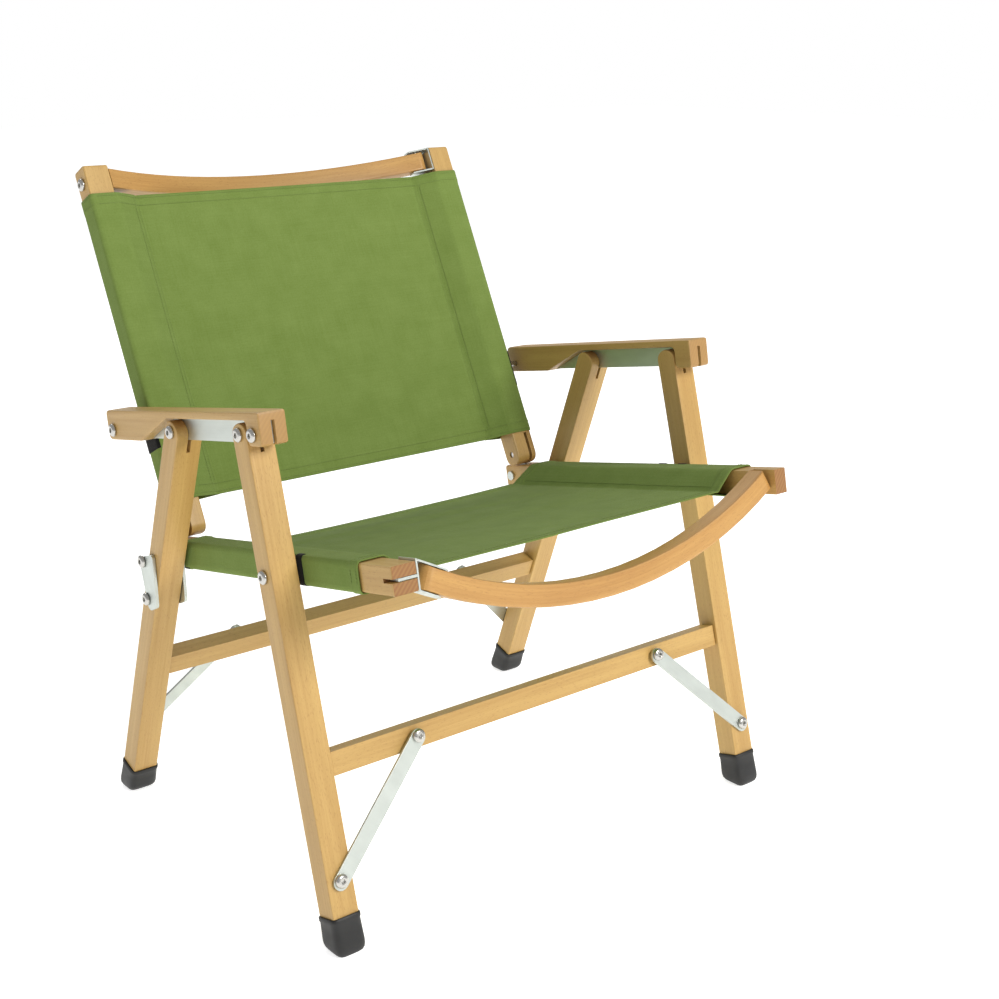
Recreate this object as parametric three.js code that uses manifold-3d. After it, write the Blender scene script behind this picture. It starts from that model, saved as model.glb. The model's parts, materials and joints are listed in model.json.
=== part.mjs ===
// A low folding camp chair: beech frame, aluminium hinge plates and struts, canvas seat and back.
// Millimetres, +Z up. The sitter faces -Y, and "left" is the -X side.
// The side view is drawn in the YZ plane and extruded along X, so most sizes are side view sizes.
import * as THREE from 'three';
import { mergeVertices } from 'three/addons/utils/BufferGeometryUtils.js';
import Module from 'manifold-3d';

const wasm = await Module();
wasm.setup();

// ---------------------------------------------------------------- driving dimensions
const MID_Y = 242.5; // from the front toes to the middle of the chair's length, which is the origin
const GAP = 0.3; // running gap between neighbouring pieces
const WOOD_EDGE = 1.6; // rounding of the wood's long edges
const WOOD_DEPTH = 24; // legs, rails and posts, seen from the side

const LEG_IN = 236; // inner and outer face of the legs and armrests, from the middle plane
const LEG_OUT = 262;
const RAIL_IN = 206;
const RAIL_OUT = 230.3;
const POST_IN = 197.5;
const POST_OUT = 223.5;

// pivots in the side view, as (y, z)
const point = (y, z) => new THREE.Vector2(y, z);
const SEAT_PIVOT = point(100, 317.5); // front leg to seat rail
const FRONT_ARM_PIVOT = point(130.5, 434.5); // front leg to armrest
const BACK_ARM_PIVOT = point(371.5, 391.7); // armrest to back post
const REAR_ARM_PIVOT = point(253.1, 412.7); // rear leg to armrest
const RAIL_END_PIVOT = point(341, 269.5); // seat rail to hinge link
const RAIL_TIE_PIVOT = point(321, 273.5); // seat rail to tie plates
const POST_PIVOT = point(331.1, 297.5); // hinge link to back post
const TIE_PIVOT = point(317, 236.5); // tie plates to rear leg
const FRONT_FOOT = point(13, 0); // where the legs' centre lines meet the ground
const REAR_FOOT = point(406, 0);

const LEG_TOP_RISE = 9.6; // the legs' domed tops stand this far over their pivots
const FOLD_ANGLE = 60; // the front legs' turn when the chair is folded
const ARM_RATIO = -0.969; // turn of the armrests on the front legs, for one degree of the front legs
const REAR_LEG_RATIO = 0.4976; // turn of the rear legs on the armrests

const PLATE = 3; // aluminium plates
const KERF = 3.6; // saw kerfs that take them
const ARM_PLATE_X = 247.5; // inner face of the armrest plate
const LINK_X = 213.7; // inner face of the hinge link
const TIE_OUT_X = 262.5;
const TIE_IN_X = 232.6;

const ARM_TOP = 18.8; // armrest heights over the line through its pivots
const ARM_THIN = 12;
const ARM_BLOCK = -9.6;
const ARM_FRONT = -36; // armrest lengths from the front pivot
const ARM_REAR = 257.5;
const ARM_FRONT_SCREW = -23;

const RAIL_FRONT = -145; // rail lengths from the seat pivot
const RAIL_KERF = 12.6;
const RAIL_NOTCH = 25.5;
const RAIL_NOTCH_X = 214.5;
const RAIL_PAST = 10; // wood behind the rail end pivot

const POST_TOP = 366; // post lengths from its pivot
const POST_ROUND = 12; // wood below the pivot
const POST_CORNER = 9.5;
const POST_KERF = 21;
const BACK_BOW_AT = 352.5;
const POST_SCREW_AT = 350;

const BOW_THICK = 20; // across the bow's curve
const BOW_WIDE = 21;
const SEAT_BOW_DIP = 53;
const SEAT_BOW_AT = -130.5; // along the rail
const BACK_BOW_DEPTH = 42;
const BOW_PIN_R = 2.6;
const BRACKET = 1.6; // bracket sheet thickness

const CLOTH = 1.5; // the canvas and its clearance to the wood
const SEAT_HEM = 23; // from a rail or post to the seam that closes its sleeve
const BACK_HEM = 27;
const FLAT_SHARE = 0.9; // share of the sag that is reached at the seams
const SEAT_CLOTH_FRONT = -100; // along the rail
const SEAT_CLOTH_REAR = 210;
const SEAT_SAG = 19; // from the bars' faces down to the middle of the sheet
const BACK_CLOTH_BOTTOM = 22.5; // along the post
const BACK_CLOTH_TOP = 335.7;
const BACK_SAG = 13;

const FOOT_FLOOR = 4.3; // rubber under the leg
const FOOT_TALL = 30;
const FOOT_WALL = 2.2;
const STRETCHER_Z = 155.2; // where the stretchers cross the legs
const STRETCHER_TALL = 21;
const STRETCHER_DEEP = 18;
const TENON = 7;
const STRUT_X = [148, 249.5]; // pivots of a strut on the stretcher and on the leg
const STRUT_LOW_Z = 60;
const STRUT_WIDE = 15;

const BOLT_R = 3;
const HEAD_R = 6.2;
const HEAD_TALL = 3.4;
const BLIND = 0.9; // wood left in front of a blind bolt hole

// ---------------------------------------------------------------- materials
const material = (color, roughness, metalness = 0) =>
  new THREE.MeshStandardMaterial({ color, roughness, metalness });
const beech = material(0xd9b078, 0.5);
const canvas = material(0x7f9452, 0.9);
const aluminium = material(0xb4bcb4, 0.4, 1);
const steel = material(0xb9bbb6, 0.25, 1);
const rubber = material(0x141414, 0.8);

// ---------------------------------------------------------------- geometry helpers
const chair = new THREE.Group();
const Y = new THREE.Vector3(0, 1, 0);
const Z = new THREE.Vector3(0, 0, 1);
const X = new THREE.Vector3(1, 0, 0);

// a closed three.js geometry as a manifold solid
function solid(geometry) {
  const bare = geometry.index ? geometry.toNonIndexed() : geometry.clone();
  bare.deleteAttribute('normal');
  bare.deleteAttribute('uv');
  const merged = mergeVertices(bare, 1e-4);
  return new wasm.Manifold(new wasm.Mesh({
    numProp: 3,
    vertProperties: new Float32Array(merged.attributes.position.array),
    triVerts: new Uint32Array(merged.index.array),
  }));
}

function add(name, body, finish) {
  const mesh = body.getMesh();
  const geometry = new THREE.BufferGeometry();
  geometry.setAttribute('position', new THREE.BufferAttribute(mesh.vertProperties, 3));
  geometry.setIndex(new THREE.BufferAttribute(mesh.triVerts, 1));
  geometry.computeVertexNormals();
  const piece = new THREE.Mesh(geometry, finish);
  piece.name = name;
  chair.add(piece);
}

// an outline extruded over a depth, with rounded long edges, placed by three axes and an origin
function extrude(outline, depth, edge, axes, origin, holes = []) {
  const shape = new THREE.Shape(outline);
  holes.forEach((hole) => shape.holes.push(new THREE.Path(hole)));
  const geometry = new THREE.ExtrudeGeometry(shape, {
    depth: depth - 2 * edge, bevelEnabled: edge > 0,
    bevelSize: edge, bevelOffset: -edge, bevelThickness: edge, bevelSegments: 2,
  });
  geometry.translate(0, 0, edge);
  geometry.applyMatrix4(new THREE.Matrix4().makeBasis(...axes).setPosition(origin));
  return solid(geometry);
}

// a side view outline between two distances from the middle plane, on the side -1 or 1
function board(outline, near, far, side, edge = 0) {
  const start = Math.min(side * near, side * far);
  return extrude(outline, Math.abs(far - near), edge, [Y, Z, X], new THREE.Vector3(start, 0, 0));
}

// a drawing frame in the side view: (along, above) measured from an origin
function frameFrom(origin, direction) {
  const unit = direction.clone().normalize();
  const at = (along, above) => point(
    origin.x + along * unit.x - above * unit.y,
    origin.y + along * unit.y + above * unit.x,
  );
  return { at, along: new THREE.Vector3(0, unit.x, unit.y), above: new THREE.Vector3(0, -unit.y, unit.x) };
}

const towards = (from, to) => to.clone().sub(from);
const arc = (place, along, above, wide, tall, from, to, steps) =>
  Array.from({ length: steps + 1 }, (_, i) => {
    const a = THREE.MathUtils.degToRad(from + (to - from) * i / steps);
    return place(along + wide * Math.cos(a), above + tall * Math.sin(a));
  });
const box = (place, a0, a1, b0, b1) => [place(a0, b0), place(a1, b0), place(a1, b1), place(a0, b1)];
const stadium = (place, length, r0, r1, steps = 8) => [
  ...arc(place, 0, 0, r0, r0, 90, 270, steps),
  ...arc(place, length, 0, r1, r1, -90, 90, steps),
];

// a cylinder along X through a side view point
function crossHole(centre, radius, near, far, side, sides = 12) {
  const ring = Array.from({ length: sides }, (_, i) => {
    const a = 2 * Math.PI * (i + 0.5) / sides;
    return point(centre.x + radius * Math.cos(a), centre.y + radius * Math.sin(a));
  });
  return board(ring, near, far, side);
}

// a round headed socket bolt: its shank runs from the face along -axis
function bolt(name, face, axis, length, headRadius = HEAD_R) {
  const profile = [
    [0, HEAD_TALL - 1.8], [2, HEAD_TALL - 1.8], [2.3, HEAD_TALL], [headRadius * 0.7, HEAD_TALL - 0.5],
    [headRadius, HEAD_TALL - 2.2], [headRadius, 0], [BOLT_R, 0], [BOLT_R, -length], [0, -length],
  ].map(([r, h]) => point(r, h));
  const geometry = new THREE.LatheGeometry(profile.reverse(), 12);
  const turn = new THREE.Quaternion().setFromUnitVectors(Y, axis.clone().normalize());
  geometry.applyQuaternion(turn);
  geometry.translate(face.x, face.y, face.z);
  add(name, solid(geometry), steel);
}

const sideBolt = (name, centre, side, face, length) =>
  bolt(name, new THREE.Vector3(side * (face + GAP), centre.x, centre.y), new THREE.Vector3(side, 0, 0), length);

// ---------------------------------------------------------------- drawing frames
const arm = frameFrom(FRONT_ARM_PIVOT, towards(FRONT_ARM_PIVOT, BACK_ARM_PIVOT));
const rail = frameFrom(SEAT_PIVOT, towards(SEAT_PIVOT, RAIL_END_PIVOT));
const LEAN = THREE.MathUtils.degToRad(26.2); // the back leans this far from upright
const post = frameFrom(POST_PIVOT, point(Math.sin(LEAN), Math.cos(LEAN)));
const frontLeg = frameFrom(FRONT_ARM_PIVOT, towards(FRONT_ARM_PIVOT, FRONT_FOOT));
const rearLeg = frameFrom(REAR_ARM_PIVOT, towards(REAR_ARM_PIVOT, REAR_FOOT));
const ARM_LENGTH = FRONT_ARM_PIVOT.distanceTo(BACK_ARM_PIVOT);
const REAR_LEG_ALONG = FRONT_ARM_PIVOT.distanceTo(REAR_ARM_PIVOT);
const RAIL_LENGTH = SEAT_PIVOT.distanceTo(RAIL_END_PIVOT);

// where a frame's line, moved sideways, is at a height
function atHeight(frame, above, z) {
  const start = frame.at(0, above);
  const along = (z - start.y) / frame.along.z;
  return frame.at(along, above);
}

// ---------------------------------------------------------------- armrests
function armrestOutline() {
  const { at } = arm;
  const round = 6;
  return [
    ...arc(at, ARM_FRONT + 3, ARM_BLOCK + 3, 3, 3, 180, 270, 2),
    ...arc(at, -18.5, ARM_BLOCK + 5, 5, 5, 270, 360, 3),
    ...arc(at, -8.5, 7, 5, 5, 180, 90, 3),
    at(REAR_LEG_ALONG + 8, ARM_THIN),
    ...arc(at, REAR_LEG_ALONG + 66, ARM_BLOCK + 14, 14, 14, 237, 270, 2),
    ...arc(at, ARM_REAR - round, ARM_BLOCK + round, round, round, 270, 360, 3),
    ...arc(at, ARM_REAR - 4, ARM_TOP - 4, 4, 4, 0, 90, 2),
    ...arc(at, ARM_FRONT + 2, ARM_TOP - 2, 2, 2, 90, 180, 2),
  ];
}

const platePlan = box(arm.at, ARM_FRONT_SCREW - 9, ARM_LENGTH + 8, -8.5, 11);

function buildArmrest(side, label) {
  const kerfPlan = box(arm.at, ARM_FRONT - 5, ARM_REAR + 5, ARM_BLOCK - 5, 11 + GAP);
  let wood = board(armrestOutline(), LEG_IN, LEG_OUT, side, WOOD_EDGE)
    .subtract(board(kerfPlan, ARM_PLATE_X - GAP, ARM_PLATE_X - GAP + KERF, side));
  let plate = board(platePlan, ARM_PLATE_X, ARM_PLATE_X + PLATE, side);
  [ARM_FRONT_SCREW, 0, REAR_LEG_ALONG, ARM_LENGTH].forEach((along) => {
    const inner = along === ARM_LENGTH ? LEG_IN - 5 : LEG_IN + BLIND; // only the rear bolt goes right through
    const hole = crossHole(arm.at(along, 0), BOLT_R + GAP, inner, LEG_OUT + 5, side);
    wood = wood.subtract(hole);
    plate = plate.subtract(hole);
  });
  add(`${label}_armrest`, wood, beech);
  add(`${label}_armrest_plate`, plate, aluminium);
  sideBolt(`${label}_armrest_front_bolt`, arm.at(ARM_FRONT_SCREW, 0), side, LEG_OUT, 25);
  sideBolt(`${label}_armrest_rear_bolt`, BACK_ARM_PIVOT, side, LEG_OUT, 35);
  sideBolt(`${label}_front_leg_top_bolt`, FRONT_ARM_PIVOT, side, LEG_OUT, 25);
  sideBolt(`${label}_rear_leg_top_bolt`, REAR_ARM_PIVOT, side, LEG_OUT, 25);
}

// ---------------------------------------------------------------- legs and feet
function legOutline(frame, grow = 0, bottom = FOOT_FLOOR) {
  const half = WOOD_DEPTH / 2 + grow;
  return [
    ...arc(frame.at, 0, 0, LEG_TOP_RISE, half, 90, 270, 10),
    atHeight(frame, -half, bottom),
    atHeight(frame, half, bottom),
  ];
}

// the room that the armrest plate sweeps in a leg's top while the chair folds
function legKerf(pivot, turn, side) {
  const steps = 4;
  const strip = box(arm.at, -60, ARM_LENGTH + 20, -9.5, 13);
  const cuts = Array.from({ length: steps + 1 }, (_, i) => {
    const angle = THREE.MathUtils.degToRad(-turn * i / steps);
    const outline = strip.map((p) => p.clone().rotateAround(pivot, angle));
    return board(outline, ARM_PLATE_X - GAP, ARM_PLATE_X - GAP + KERF, side);
  });
  return wasm.Manifold.union(cuts);
}

function buildLeg(frame, pivot, turn, holes, side, label) {
  const along = (STRETCHER_Z - pivot.y) / frame.along.z;
  const mortisePlan = box(frame.at, along - 8 - GAP, along + 8 + GAP, -6 - GAP, 6 + GAP);
  let wood = board(legOutline(frame), LEG_IN, LEG_OUT, side, WOOD_EDGE)
    .subtract(legKerf(pivot, turn, side))
    .subtract(board(mortisePlan, LEG_IN - 5, LEG_IN + TENON + 0.5, side));
  const slot = box(frame.at, -20, 17, -WOOD_DEPTH, WOOD_DEPTH);
  wood = wood.subtract(board(slot, ARM_PLATE_X - GAP, ARM_PLATE_X - GAP + KERF, side));
  wood = wood.subtract(crossHole(pivot, BOLT_R + GAP, LEG_IN + BLIND, LEG_OUT + 5, side));
  holes.forEach((centre) => {
    wood = wood.subtract(crossHole(centre, BOLT_R + GAP, LEG_IN - 5, LEG_OUT + 5, side));
  });
  return { wood, name: `${label}_leg` };
}

function buildFoot(frame, side, label) {
  const { at } = frame;
  const half = WOOD_DEPTH / 2 + FOOT_WALL;
  const top = (FOOT_TALL - frame.at(0, 0).y) / frame.along.z;
  const outline = [at(top, half), at(top, -half), atHeight(frame, -half, 0), atHeight(frame, half, 0)];
  const pocket = board(legOutline(frame, GAP, FOOT_FLOOR - GAP), LEG_IN - GAP, LEG_OUT + GAP, side);
  const cap = board(outline, LEG_IN - FOOT_WALL, LEG_OUT + FOOT_WALL, side, 1).subtract(pocket);
  add(`${label}_foot`, cap, rubber);
}

// ---------------------------------------------------------------- stretchers and struts
// way is -1 for the struts on the front legs' front faces and 1 for those on the rear legs' rear faces
function buildStretcher(frame, way, label) {
  const along = (STRETCHER_Z - frame.at(0, 0).y) / frame.along.z;
  const lowAlong = (STRUT_LOW_Z - frame.at(0, 0).y) / frame.along.z;
  const out = frame.above.clone().multiplyScalar(frame.above.y * way > 0 ? 1 : -1);
  const sign = frame.above.y * way > 0 ? 1 : -1;
  const halfDeep = STRETCHER_DEEP / 2;
  const middle = board(
    box(frame.at, along - STRETCHER_TALL / 2, along + STRETCHER_TALL / 2, -halfDeep, halfDeep),
    -(LEG_IN - GAP), LEG_IN - GAP, 1, WOOD_EDGE,
  );
  const tenons = board(
    box(frame.at, along - 8, along + 8, -6, 6), -(LEG_IN + TENON), LEG_IN + TENON, 1,
  );
  let wood = middle.add(tenons);
  const strutFace = WOOD_DEPTH / 2 + GAP; // struts lie on the legs' faces
  const placed = (x, a, lift) => {
    const p = frame.at(a, sign * lift);
    return new THREE.Vector3(x, p.x, p.y);
  };
  const legHoles = [];
  [[-1, 'left'], [1, 'right']].forEach(([side, sideLabel]) => {
    const top = placed(side * STRUT_X[0], along, strutFace);
    const low = placed(side * STRUT_X[1], lowAlong, strutFace);
    const run = low.clone().sub(top);
    const dir = run.clone().normalize();
    const across = new THREE.Vector3().crossVectors(out, dir);
    const local = (a, b) => point(a, b);
    let strut = extrude(stadium(local, run.length(), STRUT_WIDE / 2, STRUT_WIDE / 2), PLATE - 0.5, 0,
      [dir, across, out], top);
    const hole = (centre, depth) => solid(new THREE.CylinderGeometry(BOLT_R + GAP, BOLT_R + GAP, depth, 12)
      .applyQuaternion(new THREE.Quaternion().setFromUnitVectors(Y, out))
      .translate(centre.x, centre.y, centre.z));
    strut = strut.subtract(hole(top, 30)).subtract(hole(low, 30));
    wood = wood.subtract(hole(top, 37)); // stops inside the wood
    legHoles.push(hole(low, 34));
    add(`${sideLabel}_${label}_strut`, strut, aluminium);
    const faceAt = (p) => p.clone().addScaledVector(out, PLATE - 0.5 + GAP);
    bolt(`${sideLabel}_${label}_strut_top_bolt`, faceAt(top), out, 18);
    bolt(`${sideLabel}_${label}_strut_low_bolt`, faceAt(low), out, 16);
  });
  add(`${label}_stretcher`, wood, beech);
  return legHoles;
}

// ---------------------------------------------------------------- seat rails, hinge links, tie plates
function buildRail(side, label) {
  const half = WOOD_DEPTH / 2;
  const outline = [
    rail.at(RAIL_FRONT, -half),
    ...arc(rail.at, RAIL_LENGTH + RAIL_PAST - 3, -half + 3, 3, 3, -90, 0, 2),
    ...arc(rail.at, RAIL_LENGTH + RAIL_PAST - 3, half - 3, 3, 3, 0, 90, 2),
    rail.at(RAIL_FRONT, half),
  ];
  const linkKerf = box(rail.at, RAIL_LENGTH - 19, RAIL_LENGTH + 20, -half - 1, half + 1);
  const frontKerf = box(rail.at, RAIL_FRONT - 5, RAIL_FRONT + RAIL_KERF, -KERF / 2, KERF / 2);
  const notch = box(rail.at, RAIL_FRONT - 5, RAIL_FRONT + RAIL_NOTCH, -half - 1, half + 1);
  let wood = board(outline, RAIL_IN, RAIL_OUT, side, WOOD_EDGE)
    .subtract(board(linkKerf, LINK_X - GAP, LINK_X - GAP + KERF, side))
    .subtract(side < 0
      ? board(frontKerf, RAIL_IN - 5, RAIL_OUT + 5, side)
      : board(notch, RAIL_IN - 5, RAIL_NOTCH_X, side));
  [SEAT_PIVOT, RAIL_TIE_PIVOT, RAIL_END_PIVOT].forEach((centre) => {
    wood = wood.subtract(crossHole(centre, BOLT_R + GAP, RAIL_IN - 5, RAIL_OUT + 5, side));
  });
  add(`${label}_seat_rail`, wood, beech);
  sideBolt(`${label}_seat_bolt`, SEAT_PIVOT, side, LEG_OUT, 55);
  sideBolt(`${label}_rail_tie_bolt`, RAIL_TIE_PIVOT, side, TIE_OUT_X + PLATE, 58.5);
}

function buildLink(side, label) {
  const frame = frameFrom(RAIL_END_PIVOT, towards(RAIL_END_PIVOT, POST_PIVOT));
  const length = RAIL_END_PIVOT.distanceTo(POST_PIVOT);
  const link = board(stadium(frame.at, length, 9, 8), LINK_X, LINK_X + PLATE, side)
    .subtract(crossHole(POST_PIVOT, BOLT_R + GAP, LINK_X - 5, LINK_X + PLATE + 5, side));
  const pin = crossHole(RAIL_END_PIVOT, BOLT_R, RAIL_IN - GAP, RAIL_OUT - 1, side)
    .add(crossHole(RAIL_END_PIVOT, HEAD_R - 1, RAIL_IN - 2.5, RAIL_IN - GAP, side));
  add(`${label}_hinge_link`, link.add(pin), aluminium);
  sideBolt(`${label}_post_bolt`, POST_PIVOT, side, POST_OUT, 25);
}

// the outline round a set of side view points
function convexHull(points) {
  const hull = wasm.CrossSection.hull(points.map((p) => [p.x, p.y])).toPolygons()[0];
  return hull.map(([y, z]) => point(y, z));
}

// a tie plate is wide at the rail, where its top edge follows the rail, and narrow at the leg
function buildTie(side, label) {
  const along = RAIL_LENGTH - RAIL_TIE_PIVOT.distanceTo(RAIL_END_PIVOT);
  const corners = [[along + 2.5, -1, 5], [along - 17.5, 3, 4], [along - 9, -40, 6], [along - 2, -42, 6]];
  const plan = convexHull(corners.flatMap(([a, b, r]) => arc(rail.at, a, b, r, r, 0, 330, 11)));
  [['outer', TIE_OUT_X], ['inner', TIE_IN_X]].forEach(([place, x]) => {
    let plate = board(plan, x, x + PLATE, side);
    [RAIL_TIE_PIVOT, TIE_PIVOT].forEach((centre) => {
      plate = plate.subtract(crossHole(centre, BOLT_R + GAP, x - 5, x + PLATE + 5, side));
    });
    add(`${label}_tie_plate_${place}`, plate, aluminium);
  });
  sideBolt(`${label}_tie_bolt`, TIE_PIVOT, side, TIE_OUT_X + PLATE, PLATE - 0.2);
}

// ---------------------------------------------------------------- back posts
function buildPost(side, label) {
  const half = WOOD_DEPTH / 2;
  const low = POST_CORNER - POST_ROUND;
  const outline = [
    ...arc(post.at, low, half - POST_CORNER, POST_CORNER, POST_CORNER, 90, 180, 4),
    ...arc(post.at, low, POST_CORNER - half, POST_CORNER, POST_CORNER, 180, 270, 4),
    ...arc(post.at, POST_TOP - 3, -half + 3, 3, 3, -90, 0, 2),
    ...arc(post.at, POST_TOP - 3, half - 3, 3, 3, 0, 90, 2),
  ];
  const kerf = box(post.at, -20, POST_KERF, -half - 1, half + 1);
  const screw = post.at(POST_SCREW_AT, 0);
  let wood = board(outline, POST_IN, POST_OUT, side, WOOD_EDGE)
    .subtract(board(kerf, LINK_X - GAP, LINK_X - GAP + KERF, side));
  [POST_PIVOT, screw].forEach((centre) => {
    wood = wood.subtract(crossHole(centre, BOLT_R + GAP, POST_IN - 5, POST_OUT + 5, side));
  });
  add(`${label}_back_post`, wood, beech);
  sideBolt(`${label}_post_top_bolt`, screw, side, POST_OUT, 22);
}

// ---------------------------------------------------------------- bows and their brackets
// an arc band over a chord, drawn in (across the chair, along the curve's depth)
function bowOutline(halfChord, depth, thick, extra, steps = 18) {
  const radius = bowRadius(halfChord, depth);
  const reach = Math.asin(halfChord / radius) + extra / radius;
  const side = (r, from, to) => Array.from({ length: steps + 1 }, (_, i) => {
    const a = from + (to - from) * i / steps;
    return point(r * Math.sin(a), radius - depth - r * Math.cos(a));
  });
  return [...side(radius + thick / 2, -reach, reach), ...side(radius - thick / 2, reach, -reach)];
}

const bowRadius = (halfChord, depth) => (halfChord ** 2 + depth ** 2) / (2 * depth);
const bowDepthAt = (halfChord, depth, x) => {
  const radius = bowRadius(halfChord, depth);
  return Math.sqrt(radius ** 2 - x ** 2) - (radius - depth);
};
const bowSlopeAt = (halfChord, depth, x) => Math.asin(x / bowRadius(halfChord, depth));

const SEAT_BOW_HALF = 203;
const BACK_BOW_HALF = 193;
const SEAT_PIN_X = 188.5;
const BACK_PIN_X = 186.5;
const END_R = 10.5;

// a prism with one round end about a pin, used to trim a bow's end
function roundEnd(length, radius, tall, axes, origin) {
  const place = (a, b) => point(a, b);
  const end = arc(place, 0, 0, radius, radius, 90, 270, 10);
  const outline = [place(length, radius), ...end, place(length, -radius)];
  const lifted = origin.clone().addScaledVector(axes[2], -tall / 2);
  return extrude(outline, tall, 0, axes, lifted);
}

function buildSeatBow() {
  const across = rail.along; // the bow's wide direction runs along the rails
  const up = rail.above;
  const start = rail.at(SEAT_BOW_AT - BOW_WIDE / 2, 0);
  const centre = rail.at(SEAT_BOW_AT, 0);
  const angle = bowSlopeAt(SEAT_BOW_HALF, SEAT_BOW_DIP, SEAT_PIN_X);
  // extruding along the rail with X and up as the drawing axes needs X mirrored to stay right handed
  const axes = [X.clone().negate(), up, across];
  let bow = extrude(bowOutline(SEAT_BOW_HALF, SEAT_BOW_DIP, BOW_THICK, 8), BOW_WIDE, 2.2, axes,
    new THREE.Vector3(0, start.x, start.y));
  const dip = bowDepthAt(SEAT_BOW_HALF, SEAT_BOW_DIP, SEAT_PIN_X);
  const pin = (side) => new THREE.Vector3(side * SEAT_PIN_X, centre.x, centre.y).addScaledVector(up, -dip);
  const trim = [-1, 1].map((side) => {
    const reach = side < 0 ? 0 : 17;
    const inward = X.clone().multiplyScalar(-side * Math.cos(angle)).addScaledVector(up, -Math.sin(angle));
    const axis = new THREE.Vector3().crossVectors(inward, across);
    const origin = pin(side).addScaledVector(inward, -reach);
    return roundEnd(260, END_R + 0.2, 140, [inward, across, axis], origin);
  });
  const around = box(rail.at, SEAT_BOW_AT - 20, SEAT_BOW_AT + 20, -90, 60);
  const slab = (x0, x1) => board(around, x0, x1, 1);
  bow = bow.subtract(slab(-230, -80).subtract(trim[0])).subtract(slab(80, 230).subtract(trim[1]))
    .subtract(slab(RAIL_NOTCH_X - GAP, 240));
  const pinAxis = X.clone().multiplyScalar(Math.sin(angle)).addScaledVector(up, Math.cos(angle));
  const along = new THREE.Vector3().crossVectors(across, pinAxis);
  const pinHole = rod(pin(-1), pinAxis, BOW_PIN_R + GAP, 40);
  add('seat_bow', bow.subtract(pinHole), beech);

  // bracket: a web on the rail's inner face, a tongue in the kerf, and two slanted ears with the pin
  const webPlan = box(rail.at, SEAT_BOW_AT - 13.5, SEAT_BOW_AT + 10, -13.5, 13.5);
  const web = board(webPlan, RAIL_IN - GAP - BRACKET, RAIL_IN - GAP, -1);
  const tonguePlan = box(rail.at, RAIL_FRONT + 1, RAIL_FRONT + RAIL_KERF - 0.6, -1.2, 1.2);
  const tongue = board(tonguePlan, RAIL_IN - 1, 224, -1);
  const ear = (way) => {
    const lift = way * (BOW_THICK / 2 + 0.6 + BRACKET / 2);
    const origin = pin(-1).addScaledVector(pinAxis, lift - BRACKET / 2);
    const half = [point(-20, -9.5), point(9, -9.5), point(16, -4)];
    const mirrored = half.map((p) => point(p.x, -p.y)).reverse();
    return extrude([...half, ...mirrored], BRACKET, 0, [along, across, pinAxis], origin);
  };
  const keep = slab(-(RAIL_IN - GAP - 0.1), -100);
  const ears = ear(1).add(ear(-1)).intersect(keep);
  const core = rod(pin(-1), pinAxis, BOW_PIN_R, BOW_THICK + 4);
  add('seat_bow_bracket', web.add(tongue).add(ears).add(core), aluminium);
}

function rod(centre, axis, radius, length, sides = 12) {
  const geometry = new THREE.CylinderGeometry(radius, radius, length, sides);
  geometry.applyQuaternion(new THREE.Quaternion().setFromUnitVectors(Y, axis.clone().normalize()));
  geometry.translate(centre.x, centre.y, centre.z);
  return solid(geometry);
}

function buildBackBow() {
  const up = post.along;
  const back = post.above.clone().negate(); // out of the back's rear face
  const start = post.at(BACK_BOW_AT - BOW_WIDE / 2, 0);
  const centre = post.at(BACK_BOW_AT, 0);
  const half = BACK_BOW_HALF;
  const backAt = (x) => bowDepthAt(half, BACK_BOW_DEPTH, x);
  const axes = [X, back.clone(), up];
  const outline = bowOutline(half, BACK_BOW_DEPTH, BOW_THICK - 4, 8).map((p) => point(p.x, -p.y)).reverse();
  let bow = extrude(outline, BOW_WIDE - 0.5, 2.2, axes, new THREE.Vector3(0, start.x, start.y));
  const pinAt = new THREE.Vector3(BACK_PIN_X, centre.x, centre.y).addScaledVector(back, backAt(BACK_PIN_X));
  const angle = bowSlopeAt(half, BACK_BOW_DEPTH, BACK_PIN_X);
  const inward = X.clone().multiplyScalar(-Math.cos(angle)).addScaledVector(back, Math.sin(angle));
  const side = new THREE.Vector3().crossVectors(up, inward);
  const trim = roundEnd(260, (BOW_THICK - 4) / 2 + 0.3, 60, [inward, side, up], pinAt);
  const around = box(post.at, BACK_BOW_AT - 25, BACK_BOW_AT + 25, -70, 40);
  const slab = board(around, BACK_PIN_X - 2, 230, 1);
  const freeEnd = board(around, POST_IN - GAP, 230, -1);
  bow = bow.subtract(freeEnd).subtract(slab.subtract(trim)).subtract(rod(pinAt, up, BOW_PIN_R + GAP, 60));
  add('back_bow', bow, beech);

  const low = BACK_BOW_AT - 13;
  const high = BACK_BOW_AT + 13;
  const web = board(box(post.at, low, high, -11, 11), POST_IN - GAP - BRACKET, POST_IN - GAP, 1);
  const ear = (from) => {
    const base = post.at(from, 0);
    const rear = backAt(BACK_PIN_X);
    const outlinePoints = [
      point(POST_IN - GAP - 0.1, -11), point(POST_IN - GAP - 0.1, 11), point(BACK_PIN_X - 4, rear + 9),
      point(BACK_PIN_X - 11, rear + 5), point(BACK_PIN_X - 11, rear - 4), point(BACK_PIN_X, rear - 9),
    ];
    return extrude(outlinePoints.reverse(), BRACKET, 0, [X, back, up], new THREE.Vector3(0, base.x, base.y));
  };
  const pin = rod(pinAt, up, BOW_PIN_R, 25);
  add('back_bow_bracket', web.add(ear(low)).add(ear(high - BRACKET)).add(pin), aluminium);
}

// ---------------------------------------------------------------- canvas
// share of the sag at a place across the sheet: straight from a bar to its seam, then nearly level
function sagShare(x, inner, seam) {
  const from = Math.abs(x);
  if (from >= inner) return 0;
  return from > seam
    ? FLAT_SHARE * (inner - from) / (inner - seam)
    : FLAT_SHARE + (1 - FLAT_SHARE) * (1 - (x / seam) ** 2);
}

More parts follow.
